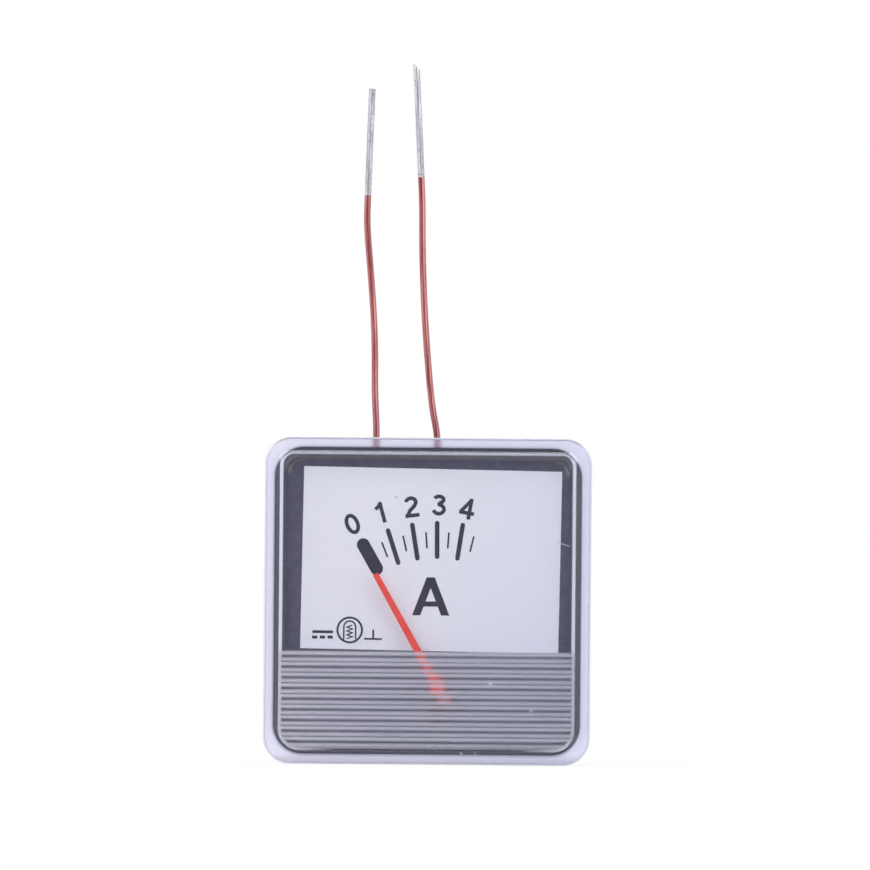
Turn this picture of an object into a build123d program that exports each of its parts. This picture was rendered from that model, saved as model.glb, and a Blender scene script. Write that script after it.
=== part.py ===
from build123d import *
import math
import os

os.makedirs("parts", exist_ok=True)

# Moving-iron panel ammeter with a clear front, a black rear case and two wire leads.
# Millimetres. +X is right and +Z is up as the dial is read, and +Y runs into the panel.
# The origin is the centre of the flange's rear face, which seats on the panel.

# Rear case, which passes through the panel's cut-out
case_side = 45.0
case_wall = 1.0
case_floor = 1.2
case_corner = 4.3
case_back_round = 1.0
corner_pad = 4.4

# Clear front cover
flange_overhang = 1.5
flange_thickness = 1.5
flange_corner = 4.0
flange_edge_round = 0.4
window_side_inset = 0.7
window_end_inset = 0.5
window_top_corner = 2.2
window_bottom_corner = 3.2
window_rise = 2.5
window_edge_round = 0.5
glass_thickness = 1.0
skirt_wall = 0.6
skirt_depth = 1.0
skirt_clearance = 0.1
rim_rebate = 0.3
rim_gap = 0.05

# Reeds that blur the lower part of the window
reed_count = 9
reed_pitch = 1.565
reed_height = 0.38
reed_side_margin = 0.22
reed_root = 0.45

# Dial plate and what is stuck and printed on it
plate_thickness = 1.2
plate_clearance = 0.15
label_side_margin = 2.4
label_top_margin = 1.93
label_reed_gap = 0.09
label_offset_x = 0.5
label_tilt = 0.8
label_thickness = 0.08
ink_thickness = 0.03

# Scale, radii and angles about the pointer's axis, clockwise from upright
major_angles = (-18.0, -9.2, -0.4, 8.65)
major_inner_radius = 18.6
major_length = 5.6
major_width = 0.67
minor_angles = (-21.5, -13.25, -4.6, 4.0, 13.4)
minor_step_out = 1.6
minor_length = 2.4
minor_width = 0.26
zero_angle = -27.9
zero_step_in = 0.2
zero_length = 5.9
zero_width = 1.9
zero_lean = 1.7

# Pointer and its swing
pivot_x = 1.5
rest_angle = -29.3
full_swing = 48.0
pointer_length = 18.75
pointer_tip_width = 0.85
pointer_root_width = 1.15
pointer_thickness = 0.4
pointer_label_gap = 1.8
tail_length = 2.3
tail_width = 1.5
tail_end_radius = 0.95
hub_radius = 1.15
hub_front_step = 0.4
hub_length = 1.9
weight_radius = 0.6
weight_length = 2.6
weight_chamfer = 0.12

# Spindle, bearings and the gap that lets them turn
spindle_radius = 0.35
spindle_end_chamfer = 0.15
running_clearance = 0.03
end_play = 0.15
bush_radius = 0.8
front_bush_length = 1.4
bush_front_step = 0.2
rear_bush_length = 2.0
rear_bush_end_wall = 0.5
vane_hub_radius = 0.75
vane_radius = 5.0
vane_width = 2.6
vane_thickness = 0.5
vane_rest_angle = -24.0
vane_seat_radius = 1.2

# Stops for the pointer's balance weight
stop_radius = 0.5
stop_pointer_gap = 0.3
stop_clearance = 0.05

# Coil of enamelled wire around the vane, wound in two halves beside the spindle
wire_diameter = 1.0
turns_per_half = 4
turn_gap = 0.06
tail_bend = 10.0
tail_lead_in = 3.0
tail_rise = 2.0
wire_seat_gap = 0.03
vane_end_gap = 0.5
vane_slot_side_gap = 0.1
vane_slot_end_gap = 0.3
chamber_depth = 4.0
tube_wall = 0.8
tube_edge_round = 0.3
middle_half_width = 1.6
bobbin_flange_thickness = 0.8
bobbin_flange_margin = 0.4

# Bridge that carries the front bearing
bridge_plate_gap = 1.0
bridge_thickness = 0.6
bridge_width = 2.4
bridge_end_inset = 0.2
bridge_block_step = 0.8
bridge_block_depth = 2.4
bridge_block_height = 1.5
bridge_screw_inset = 1.1
bridge_screw_radius = 0.5
bridge_screw_length = 2.4
bridge_head_radius = 0.95
bridge_head_height = 0.55

# Ears that screw the bobbin to the bosses of the dial plate
ear_offset = 10.2
ear_end_radius = 1.8
ear_thickness = 1.0
boss_radius = 1.8
mount_screw_radius = 0.7
mount_screw_length = 3.4
mount_head_radius = 1.3
mount_head_height = 0.9
screw_hole_gap = 0.1
screw_slot_width = 0.35
screw_slot_depth = 0.3
screw_head_chamfer = 0.25

# Openings of the dial plate
plate_slot_half_width = 1.0
plate_slot_rise = 1.0
plate_slot_drop = 7.6

# Magnet that holds the vane at zero, in its ring on the case floor
magnet_radius = 4.5
magnet_thickness = 2.0
magnet_coil_gap = 0.57
magnet_ring_gap = 0.1
magnet_ring_wall = 0.9
magnet_ring_height = 1.2
magnet_slot_width = 0.7

# U-shaped iron screen around the movement
screen_thickness = 0.5
screen_side_gap = 0.6
screen_coil_gap = 0.5
screen_case_gap = 0.37
screen_top = 7.5
screen_corner = 2.0
screen_plate_gap = 1.2
screen_rib_thickness = 0.8
screen_rib_height = 2.4
screen_rib_length = 4.0
screen_rib_gap = 0.05

# Leads, the coil's own wire led out through the top wall of the case
lead_hole_gap = 0.12
lead_y = 7.0
lead_left_x = -7.7
lead_right_x = 1.3
tip_left_start = (-9.27, 6.7, 59.3)
tip_left_end = (-8.76, 6.3, 75.3)
tip_right_start = (-1.45, 7.2, 62.35)
tip_right_end = (-2.303, 6.794, 78.95)
tip_lead_in = 4.0

# Outlines worked out from those above
case_half = case_side / 2
case_inner = case_side - 2 * case_wall
case_inner_corner = case_corner - case_wall
flange_side = case_side + 2 * flange_overhang
window_width = case_side - 2 * window_side_inset
window_height = case_side - 2 * window_end_inset
skirt_side = case_inner - 2 * skirt_clearance
skirt_corner = case_inner_corner - skirt_clearance
cavity_side = skirt_side - 2 * skirt_wall
cavity_corner = skirt_corner - skirt_wall
plate_side = case_inner - 2 * plate_clearance
plate_corner = case_inner_corner - plate_clearance
reed_zone_bottom = window_edge_round - window_height / 2
reed_zone_top = reed_zone_bottom + reed_count * reed_pitch
label_width = plate_side - 2 * label_side_margin
label_top_z = plate_side / 2 - label_top_margin
label_bottom_z = reed_zone_top + label_reed_gap

# Depths of the cover, the dial and the pointer
case_front_y = -rim_rebate
window_front_y = -(flange_thickness + window_rise)
glass_back_y = window_front_y + glass_thickness
plate_front_y = skirt_depth
plate_back_y = plate_front_y + plate_thickness
label_front_y = plate_front_y - label_thickness
pointer_back_y = label_front_y - pointer_label_gap
pointer_front_y = pointer_back_y - pointer_thickness
hub_front_y = pointer_front_y - hub_front_step
hub_back_y = hub_front_y + hub_length
weight_centre_y = (pointer_front_y + pointer_back_y) / 2
stop_front_y = pointer_back_y + stop_pointer_gap

# Depths of the movement
bridge_front_y = plate_back_y + bridge_plate_gap
bridge_block_front_y = bridge_front_y + bridge_thickness
tube_front_y = bridge_block_front_y + bridge_block_step
chamber_front_y = tube_front_y + tube_wall
chamber_back_y = chamber_front_y + chamber_depth
tube_back_y = chamber_back_y + tube_wall
boss_top_y = chamber_front_y - ear_thickness
ear_back_y = chamber_front_y
screen_front_y = plate_back_y + screen_plate_gap
chamber_half_height = vane_radius + vane_end_gap
tube_half_height = chamber_half_height + tube_wall
wire_radius = wire_diameter / 2
wire_offset = wire_radius + wire_seat_gap
turn_pitch = wire_diameter + turn_gap
first_turn_x = middle_half_width + wire_offset
last_turn_x = first_turn_x + (turns_per_half - 1) * turn_pitch
flange_inner_x = last_turn_x + wire_offset
flange_outer_x = flange_inner_x + bobbin_flange_thickness
wind_front_y = tube_front_y - wire_offset
wind_back_y = tube_back_y + wire_offset
wind_half_height = tube_half_height + wire_offset
bobbin_front_y = wind_front_y - wire_radius - bobbin_flange_margin
bobbin_back_y = wind_back_y + wire_radius + bobbin_flange_margin
bobbin_half_height = wind_half_height + wire_radius + bobbin_flange_margin
bridge_block_half_height = tube_half_height + bridge_block_height
bridge_half_length = bridge_block_half_height - bridge_end_inset
bridge_screw_offset = bridge_block_half_height - bridge_screw_inset
front_bush_y = bridge_front_y - bush_front_step
front_bush_back_y = front_bush_y + front_bush_length
rear_bush_back_y = chamber_back_y + rear_bush_length
bearing_bore = spindle_radius + running_clearance
vane_centre_y = (chamber_front_y + chamber_back_y) / 2
magnet_front_y = wind_back_y + wire_radius + magnet_coil_gap
floor_y = magnet_front_y + magnet_thickness
case_depth = floor_y + case_floor

# Places of the screen and of the pointer's axis above the case's inner wall
screen_half_width = ear_offset + ear_end_radius + screen_side_gap
screen_drop = bobbin_half_height + screen_coil_gap
pivot_z = screen_case_gap + screen_thickness + screen_drop - case_inner / 2


def face_plane(y):
    """Plane that faces the reader at depth y, with its own x to the right and y up."""
    return Plane(origin=(0, y, 0), x_dir=(1, 0, 0), z_dir=(0, -1, 0))


def slab(outline, front_y, back_y):
    """Prism of an outline drawn as the reader sees it, between two depths."""
    return extrude(face_plane(back_y) * outline, amount=back_y - front_y)


def block(x_low, x_high, front_y, back_y, z_low, z_high):
    """Box between two corners."""
    size = Box(x_high - x_low, back_y - front_y, z_high - z_low)
    centre = ((x_low + x_high) / 2, (front_y + back_y) / 2, (z_low + z_high) / 2)
    return Pos(*centre) * size


def disc(radius, front_y, back_y, x, z):
    """Round bar along the depth, centred on x and z."""
    return slab(Pos(x, z) * Circle(radius), front_y, back_y)


def at_pivot(x, z):
    """Place given from the pointer's axis."""
    return pivot_x + x, pivot_z + z


def on_pivot(outline):
    """Outline drawn about the pointer's axis."""
    return Pos(pivot_x, pivot_z) * outline


def turned(outline, angle):
    """Outline turned clockwise by an angle in degrees."""
    return Rot(0, 0, -angle) * outline


def pivot_point(radius, angle):
    """Point at a radius from the pointer's axis, its angle clockwise from upright."""
    turn = math.radians(angle)
    return at_pivot(radius * math.sin(turn), radius * math.cos(turn))


def slotted_screw(head_radius, head_height, shank_radius, shank_length, under_head_y, step):
    """Slotted screw on the depth axis; step is +1 where it drives to the rear."""
    head = disc(head_radius, -head_height, 0, 0, 0)
    rim = head.edges().filter_by(GeomType.CIRCLE).group_by(Axis.Y)[0]
    head = chamfer(rim, screw_head_chamfer)
    slot = block(
        -head_radius,
        head_radius,
        -head_height,
        screw_slot_depth - head_height,
        -screw_slot_width / 2,
        screw_slot_width / 2,
    )
    screw = head - slot + disc(shank_radius, 0, shank_length, 0, 0)
    if step < 0:
        screw = Rot(0, 0, 180) * screw
    return Pos(0, under_head_y, 0) * screw


# Clear front cover


def window_outline(inset):
    """Raised window's outline, its upper corners tighter than the lower ones."""
    outline = Rectangle(window_width - 2 * inset, window_height - 2 * inset)
    upper = outline.vertices().group_by(Axis.Y)[-1]
    outline = fillet(upper, window_top_corner - inset)
    lower = outline.vertices().group_by(Axis.Y)[0]
    return fillet(lower, window_bottom_corner - inset)


def reed_comb():
    """Row of half-round reeds across the window, with a root that sinks into it."""
    crest_y = window_front_y - reed_height
    root_y = window_front_y + reed_root
    arcs = []
    for index in range(reed_count):
        top = reed_zone_top - index * reed_pitch
        middle = top - reed_pitch / 2
        bottom = top - reed_pitch
        arcs.append(ThreePointArc((window_front_y, top), (crest_y, middle), (window_front_y, bottom)))
    back = Polyline(
        (window_front_y, reed_zone_bottom),
        (root_y, reed_zone_bottom),
        (root_y, reed_zone_top),
        (window_front_y, reed_zone_top),
    )
    profile = Plane.YZ * make_face(Curve() + arcs + back)
    comb = extrude(profile, amount=window_width / 2, both=True)
    keep = slab(window_outline(reed_side_margin), crest_y - reed_height, root_y + reed_height)
    return comb & keep


def window_block():
    window = slab(window_outline(0), window_front_y, case_front_y)
    return fillet(window.faces().sort_by(Axis.Y)[0].edges(), window_edge_round)


def front_cover():
    flange = slab(RectangleRounded(flange_side, flange_side, flange_corner), -flange_thickness, 0)
    flange = fillet(flange.faces().sort_by(Axis.Y)[0].edges(), flange_edge_round)
    skirt = slab(RectangleRounded(skirt_side, skirt_side, skirt_corner), -flange_thickness, skirt_depth)
    cavity = slab(RectangleRounded(cavity_side, cavity_side, cavity_corner), glass_back_y, skirt_depth)
    rebate_side = case_side + 2 * rim_gap
    rebate = slab(RectangleRounded(rebate_side, rebate_side, case_corner + rim_gap), case_front_y, 0)
    return flange - rebate + window_block() + skirt + reed_comb() - cavity


# Black rear case


def lead_holes():
    """Holes in the top wall that the coil's wire leaves through."""
    hole = Cylinder(wire_radius + lead_hole_gap, 2 * case_wall)
    return [Pos(x, lead_y, case_half - case_wall / 2) * hole for x in (lead_left_x, lead_right_x)]


def corner_pads():
    """Pads in the four corners that the dial plate rests on."""
    reach = case_half - case_wall / 2
    pads = []
    for side_x in (-1, 1):
        for side_z in (-1, 1):
            centre = Pos(side_x * (reach - corner_pad / 2), side_z * (reach - corner_pad / 2))
            pads.append(slab(centre * Rectangle(corner_pad, corner_pad), plate_back_y, case_depth - case_floor / 2))
    return pads


def screen_ribs():
    """Pairs of low ribs on the floor that hold the legs of the screen."""
    ribs = []
    inner = screen_half_width - screen_rib_gap - screen_rib_thickness / 2
    outer = screen_half_width + screen_thickness + screen_rib_gap + screen_rib_thickness / 2
    rib = Rectangle(screen_rib_thickness, screen_rib_length)
    for side in (-1, 1):
        for offset in (inner, outer):
            outline = on_pivot(Pos(side * offset, 0) * rib)
            ribs.append(slab(outline, floor_y - screen_rib_height, case_depth - case_floor / 2))
    return ribs


def magnet_ring():
    """Ring on the floor that the magnet is turned in to set the zero, then glued."""
    bore = magnet_radius + magnet_ring_gap
    ring = Circle(bore + magnet_ring_wall) - Circle(bore)
    return slab(on_pivot(ring), floor_y - magnet_ring_height, case_depth - case_floor / 2)


def rear_case():
    shell = slab(RectangleRounded(case_side, case_side, case_corner), case_front_y, case_depth)
    back_edges = shell.faces().sort_by(Axis.Y)[-1].edges()
    shell = fillet(back_edges, case_back_round)
    hollow = slab(RectangleRounded(case_inner, case_inner, case_inner_corner), case_front_y, floor_y)
    tub = shell - hollow
    for pad in corner_pads():
        tub += pad & shell
    for rib in screen_ribs():
        tub += rib
    tub += magnet_ring()
    for hole in lead_holes():
        tub -= hole
    return tub


# Dial plate, label and scale


def stop_centre(angle, side):
    """Stop beside the balance weight when the pointer stands at an angle."""
    beside = weight_radius + stop_clearance + stop_radius
    x, z = pivot_point(tail_length, angle + 180)
    across = math.radians(angle + 90)
    return x - side * beside * math.sin(across), z - side * beside * math.cos(across)


def dial_plate():
    plate = slab(RectangleRounded(plate_side, plate_side, plate_corner), plate_front_y, plate_back_y)
    slot_length = plate_slot_rise + plate_slot_drop + 2 * plate_slot_half_width
    slot_centre = (plate_slot_rise - plate_slot_drop) / 2
    slot = Pos(0, slot_centre) * Rot(0, 0, 90) * SlotOverall(slot_length, 2 * plate_slot_half_width)
    plate -= slab(on_pivot(slot), plate_front_y, plate_back_y)
    for side in (-1, 1):
        x, z = at_pivot(side * ear_offset, 0)
        plate += disc(boss_radius, plate_back_y, boss_top_y, x, z)
    for side in (-1, 1):
        x, z = at_pivot(side * ear_offset, 0)
        plate -= disc(mount_screw_radius, ear_back_y - mount_screw_length, boss_top_y, x, z)
    for angle, side in ((rest_angle, -1), (rest_angle + full_swing, 1)):
        x, z = stop_centre(angle, side)
        plate += disc(stop_radius, stop_front_y, plate_front_y, x, z)
    return plate


def dial_label():
    sticker = Rectangle(label_width, label_top_z - label_bottom_z)
    outline = Pos(label_offset_x, (label_top_z + label_bottom_z) / 2) * turned(sticker, label_tilt)
    return slab(outline, label_front_y, plate_front_y)


def scale_mark(inner_radius, length, width, angle, lean=0.0):
    """Round-ended stroke on a radius of the scale, turned a little less where it leans."""
    middle_x, middle_z = pivot_point(inner_radius + length / 2, angle)
    stroke = Rot(0, 0, 90) * SlotOverall(length, width)
    outline = Pos(middle_x, middle_z) * turned(stroke, angle - lean)
    return slab(outline, label_front_y - ink_thickness, label_front_y)


def scale_marks():
    marks = [scale_mark(major_inner_radius - zero_step_in, zero_length, zero_width, zero_angle, zero_lean)]
    for angle in major_angles:
        marks.append(scale_mark(major_inner_radius, major_length, major_width, angle))
    for angle in minor_angles:
        marks.append(scale_mark(major_inner_radius + minor_step_out, minor_length, minor_width, angle))
    return Compound(marks)


# Moving system


def pointer():
    blade_outline = Polyline(
        (-pointer_root_width / 2, 0),
        (-pointer_tip_width / 2, pointer_length),
        (pointer_tip_width / 2, pointer_length),
        (pointer_root_width / 2, 0),
        (tail_width / 2, -tail_length),
        (-tail_width / 2, -tail_length),
        close=True,
    )
    outline = make_face(blade_outline) + Circle(hub_radius) + Pos(0, -tail_length) * Circle(tail_end_radius)
    blade = slab(on_pivot(turned(outline, rest_angle)), pointer_front_y, pointer_back_y)
    hub = disc(hub_radius, hub_front_y, hub_back_y, pivot_x, pivot_z)
    bore = disc(spindle_radius, hub_front_y, hub_back_y, pivot_x, pivot_z)
    weight_x, weight_z = pivot_point(tail_length, rest_angle + 180)
    weight_hole = disc(weight_radius, hub_front_y, hub_back_y, weight_x, weight_z)
    return blade + hub - bore - weight_hole


def balance_weight():
    x, z = pivot_point(tail_length, rest_angle + 180)
    half = weight_length / 2
    slug = disc(weight_radius, weight_centre_y - half, weight_centre_y + half, x, z)
    return chamfer(slug.edges().filter_by(GeomType.CIRCLE), weight_chamfer)


def spindle():
    back_y = rear_bush_back_y - rear_bush_end_wall - running_clearance
    bar = disc(spindle_radius, hub_front_y, back_y, pivot_x, pivot_z)
    return chamfer(bar.edges().filter_by(GeomType.CIRCLE), spindle_end_chamfer)


def vane_hub():
    front_y = front_bush_back_y + end_play
    back_y = chamber_back_y - end_play
    hub = disc(vane_hub_radius, front_y, back_y, pivot_x, pivot_z)
    seat_y = vane_centre_y + vane_thickness / 2
    shoulder = disc(vane_seat_radius, seat_y, seat_y + vane_thickness, pivot_x, pivot_z)
    return hub + shoulder - disc(spindle_radius, front_y, back_y, pivot_x, pivot_z)


def iron_vane():
    leaf = Rectangle(vane_width, 2 * vane_radius) & Circle(vane_radius)
    leaf -= Circle(vane_hub_radius)
    half = vane_thickness / 2
    return slab(on_pivot(turned(leaf, vane_rest_angle)), vane_centre_y - half, vane_centre_y + half)


# Bearings and their bridge


def front_bearing():
    bush = disc(bush_radius, front_bush_y, front_bush_back_y, pivot_x, pivot_z)
    return bush - disc(bearing_bore, front_bush_y, front_bush_back_y, pivot_x, pivot_z)


def rear_bearing():
    bush = disc(bush_radius, chamber_back_y, rear_bush_back_y, pivot_x, pivot_z)
    blind_end_y = rear_bush_back_y - rear_bush_end_wall
    return bush - disc(bearing_bore, chamber_back_y, blind_end_y, pivot_x, pivot_z)


def bearing_bridge():
    strap = Rot(0, 0, 90) * SlotOverall(2 * bridge_half_length, bridge_width)
    strap -= Circle(bush_radius)
    for side in (-1, 1):
        strap -= Pos(0, side * bridge_screw_offset) * Circle(bridge_screw_radius + screw_hole_gap)
    return slab(on_pivot(strap), bridge_front_y, bridge_block_front_y)


def bridge_screws():
    screw = slotted_screw(
        bridge_head_radius, bridge_head_height, bridge_screw_radius, bridge_screw_length, bridge_front_y, 1
    )
    places = [at_pivot(0, side * bridge_screw_offset) for side in (-1, 1)]
    return Compound([Pos(x, 0, z) * screw for x, z in places])


# Bobbin and coil


def bobbin_flange(side):
    """End flange of the bobbin with the ear that is screwed to the dial plate."""
    low, high = sorted((side * flange_inner_x, side * flange_outer_x))
    cheek = block(low, high, bobbin_front_y, bobbin_back_y, -bobbin_half_height, bobbin_half_height)
    ear = Rectangle(ear_offset - flange_outer_x + bobbin_flange_thickness, 2 * ear_end_radius)
    ear = Pos(side * (ear_offset + flange_inner_x) / 2, 0) * ear + Pos(side * ear_offset, 0) * Circle(ear_end_radius)
    ear -= Pos(side * ear_offset, 0) * Circle(mount_screw_radius + screw_hole_gap)
    return cheek + slab(ear, boss_top_y, ear_back_y)


def coil_bobbin():
    tube = block(-flange_inner_x, flange_inner_x, tube_front_y, tube_back_y, -tube_half_height, tube_half_height)
    tube = fillet(tube.edges().filter_by(Axis.X), tube_edge_round)
    body = tube + bobbin_flange(-1) + bobbin_flange(1)
    for side in (-1, 1):
        low, high = sorted((side * chamber_half_height, side * bridge_block_half_height))
        body += block(
            -bridge_width / 2,
            bridge_width / 2,
            bridge_block_front_y,
            bridge_block_front_y + bridge_block_depth,
            low,
            high,
        )
    body += block(
        -middle_half_width, middle_half_width, chamber_back_y, rear_bush_back_y, -middle_half_width, middle_half_width
    )
    body -= block(
        -flange_outer_x, flange_outer_x, chamber_front_y, chamber_back_y, -chamber_half_height, chamber_half_height
    )
    slot_half_width = vane_width / 2 + vane_slot_side_gap
    slot_half_height = vane_radius + vane_slot_end_gap
    body -= block(
        -slot_half_width, slot_half_width, tube_front_y, chamber_front_y, -slot_half_height, slot_half_height
    )
    body -= disc(bush_radius, chamber_back_y, rear_bush_back_y, 0, 0)
    screw_end_y = bridge_front_y + bridge_screw_length
    for side in (-1, 1):
        body -= disc(bridge_screw_radius, bridge_block_front_y, screw_end_y, 0, side * bridge_screw_offset)
    return Pos(pivot_x, 0, pivot_z) * body


def movement_screws():
    screw = slotted_screw(
        mount_head_radius, mount_head_height, mount_screw_radius, mount_screw_length, ear_back_y, -1
    )
    places = [at_pivot(side * ear_offset, 0) for side in (-1, 1)]
    return Compound([Pos(x, 0, z) * screw for x, z in places])


def unit_from(start, end):
    """Direction from one point to another."""
    return (Vector(*end) - Vector(*start)).normalized()


def bend_radii(points, share=0.45):
    """Largest bend at each corner of a route that its two runs allow."""
    radii = []
    for before, here, after in zip(points, points[1:], points[2:]):
        run_in = Vector(*here) - Vector(*before)
        run_out = Vector(*after) - Vector(*here)
        half_turn = math.radians(run_in.get_angle(run_out)) / 2
        radii.append(share * min(run_in.length, run_out.length) / math.tan(half_turn))
    return radii


def wire_along(route):
    """Round wire along the straight runs and bends of a route."""
    pieces = []
    for piece in route.edges():
        start = Plane(origin=piece @ 0, z_dir=piece % 0)
        pieces.append(sweep(start * Circle(wire_radius), path=piece))
    return Part() + pieces


def mitre(before, corner, after):
    """Plane through a corner of the wire that halves its bend."""
    return Plane(origin=corner, z_dir=unit_from(before, corner) + unit_from(corner, after))


def mitred_turns(points):
    """Wire pulled tight from corner to corner of the bobbin."""
    runs = []
    last = len(points) - 2
    for index in range(last + 1):
        start, end = points[index], points[index + 1]
        spare_in = wire_diameter if index > 0 else 0
        spare_out = wire_diameter if index < last else 0
        along = unit_from(start, end)
        base = Plane(origin=Vector(*start) - along * spare_in, z_dir=along)
        length = (Vector(*end) - Vector(*start)).length + spare_in + spare_out
        run = extrude(base * Circle(wire_radius), amount=length)
        if index > 0:
            run = split(run, bisect_by=mitre(points[index - 1], start, end), keep=Keep.TOP)
        if index < last:
            run = split(run, bisect_by=mitre(start, end, points[index + 2]), keep=Keep.BOTTOM)
        runs.append(run)
    return Part() + runs


def turn_corners():
    """Corners of the eight turns, from the middle of the first to the middle of the last."""
    turn_places = [-last_turn_x + index * turn_pitch for index in range(turns_per_half)]
    turn_places += [first_turn_x + index * turn_pitch for index in range(turns_per_half)]
    points = [(turn_places[0], wind_front_y, 0)]
    for index, x in enumerate(turn_places[:-1]):
        points.append((x, wind_front_y, -wind_half_height))
        points.append((x, wind_back_y, -wind_half_height))
        if index == turns_per_half - 1:
            points.append((x, wind_back_y, middle_half_width + wire_diameter))
        next_x = turn_places[index + 1]
        points.append((next_x - turn_pitch, wind_back_y, wind_half_height))
        points.append((next_x, wind_front_y, wind_half_height))
    points.append((turn_places[-1], wind_front_y, -wind_half_height))
    points.append((turn_places[-1], wind_back_y, -wind_half_height))
    points.append((turn_places[-1], wind_back_y, 0))
    return [(pivot_x + x, y, pivot_z + z) for x, y, z in points]


def coil_tail(lead_x, turn_end):
    """Wire from the case wall down to where a turn begins or ends, with two easy bends."""
    x, y, z = turn_end
    points = [
        (lead_x, lead_y, case_half),
        (lead_x, lead_y, case_half - case_wall - tail_lead_in),
        (x, y, pivot_z + bobbin_half_height + tail_rise),
        (x, y, z),
    ]
    return wire_along(FilletPolyline(*points, radius=tail_bend))


def coil_winding():
    corners = turn_corners()
    tails = [coil_tail(lead_left_x, corners[0]), coil_tail(lead_right_x, corners[-1])]
    return mitred_turns(corners) + tails


# Magnet and screen


def control_magnet():
    magnet = disc(magnet_radius, magnet_front_y, floor_y, pivot_x, pivot_z)
    slot = on_pivot(turned(Rectangle(magnet_slot_width, magnet_radius), vane_rest_angle))
    return magnet - slab(slot, magnet_front_y, magnet_front_y + screw_slot_depth)


def magnetic_screen():
    outer = screen_half_width + screen_thickness
    height = screen_top + screen_drop + screen_thickness
    outline = Pos(0, screen_top - height / 2) * Rectangle(2 * outer, height)
    outline = fillet(outline.vertices().group_by(Axis.Y)[0], screen_corner)
    inner = Pos(0, screen_top - height / 2 + screen_thickness / 2) * Rectangle(
        2 * screen_half_width, height - screen_thickness
    )
    inner = fillet(inner.vertices().group_by(Axis.Y)[0], screen_corner - screen_thickness)
    return slab(on_pivot(outline - inner), screen_front_y, floor_y)


# Leads outside the case


def before_tip(start, end):
    """Point on the lead where it lines up with its tinned end."""
    point = Vector(*start) - unit_from(start, end) * tip_lead_in
    return (point.X, point.Y, point.Z)


lead_left_route = [
    (lead_left_x, lead_y, case_half),
    (lead_left_x, lead_y, 25.6),
    (-8.02, 7.1, 30.5),
    (-8.02, 7.4, 36.5),
    (-8.28, 7.6, 42.5),
    (-8.78, 7.4, 48.5),
    before_tip(tip_left_start, tip_left_end),
    tip_left_start,
]
lead_right_route = [
    (lead_right_x, lead_y, case_half),
    (lead_right_x, lead_y, 24.2),
    (0.48, 6.9, 28.2),
    (-0.1, 6.7, 33.5),
    (-0.6, 6.6, 39.5),
    (-0.95, 6.8, 45.5),
    (-1.2, 7.1, 51.8),
    before_tip(tip_right_start, tip_right_end),
    tip_right_start,
]


def lead(name, points):
    """Enamelled wire from the case to the start of its tinned end."""
    radii = bend_radii(points)
    route = FilletPolyline(*points, radius=radii)
    wire = wire_along(route)
    section = math.pi * wire_radius**2
    print(name, "bend radii", [round(radius, 1) for radius in radii], "length", round(route.length, 2))
    print(name, "volume over section times length", round(wire.volume / (section * route.length), 5))
    return wire


def lead_tip(start, end):
    """Straight tinned end of a lead."""
    length = (Vector(*end) - Vector(*start)).length
    base = Plane(origin=start, z_dir=unit_from(start, end))
    return extrude(base * Circle(wire_radius), amount=length)


parts = {
    "front_cover": front_cover(),
    "rear_case": rear_case(),
    "dial_plate": dial_plate(),
    "dial_label": dial_label(),
    "scale_marks": scale_marks(),
    "pointer": pointer(),
    "balance_weight": balance_weight(),
    "spindle": spindle(),
    "vane_hub": vane_hub(),
    "iron_vane": iron_vane(),
    "front_bearing": front_bearing(),
    "rear_bearing": rear_bearing(),
    "bearing_bridge": bearing_bridge(),
    "bridge_screws": bridge_screws(),
    "coil_bobbin": coil_bobbin(),
    "coil_winding": coil_winding(),
    "movement_screws": movement_screws(),
    "control_magnet": control_magnet(),
    "magnetic_screen": magnetic_screen(),
    "lead_left": lead("lead_left", lead_left_route),
    "lead_right": lead("lead_right", lead_right_route),
    "lead_tip_left": lead_tip(tip_left_start, tip_left_end),
    "lead_tip_right": lead_tip(tip_right_start, tip_right_end),
}

for name, solid in parts.items():
    export_step(solid, f"parts/{name}.step")
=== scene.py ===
import math
from functools import reduce

import bmesh
import bpy
from mathutils import Matrix, Vector


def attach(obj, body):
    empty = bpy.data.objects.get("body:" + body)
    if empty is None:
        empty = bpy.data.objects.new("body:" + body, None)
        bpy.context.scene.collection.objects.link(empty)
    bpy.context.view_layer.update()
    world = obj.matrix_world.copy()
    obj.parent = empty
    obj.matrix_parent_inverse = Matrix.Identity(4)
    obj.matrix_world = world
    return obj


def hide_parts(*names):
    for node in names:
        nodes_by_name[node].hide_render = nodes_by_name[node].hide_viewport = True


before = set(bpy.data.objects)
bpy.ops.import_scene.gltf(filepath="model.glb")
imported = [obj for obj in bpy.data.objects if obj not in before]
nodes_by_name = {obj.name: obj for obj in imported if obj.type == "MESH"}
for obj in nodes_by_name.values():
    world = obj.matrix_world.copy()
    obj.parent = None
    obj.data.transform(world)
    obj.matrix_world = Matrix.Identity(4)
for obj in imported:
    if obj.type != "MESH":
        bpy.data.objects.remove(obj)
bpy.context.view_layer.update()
MM = 0.001


# Materials

# Every noise's roughness, and the band in which most of its values lie
NOISE_ROUGHNESS = 0.6
NOISE_BAND = (0.3, 0.7)


def new_material(name):
    """Material with its node tree, and the Principled shader in it."""
    material = bpy.data.materials.new(name)
    material.use_nodes = True
    return material, material.node_tree, material.node_tree.nodes["Principled BSDF"]


def object_point(tree):
    """Point on the piece, in metres."""
    return tree.nodes.new("ShaderNodeTexCoord").outputs["Object"]


def object_axes(tree):
    """The point's x, y and z, in metres."""
    place = tree.nodes.new("ShaderNodeSeparateXYZ")
    tree.links.new(object_point(tree), place.inputs[0])
    return tuple(place.outputs[index] for index in range(3))


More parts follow.
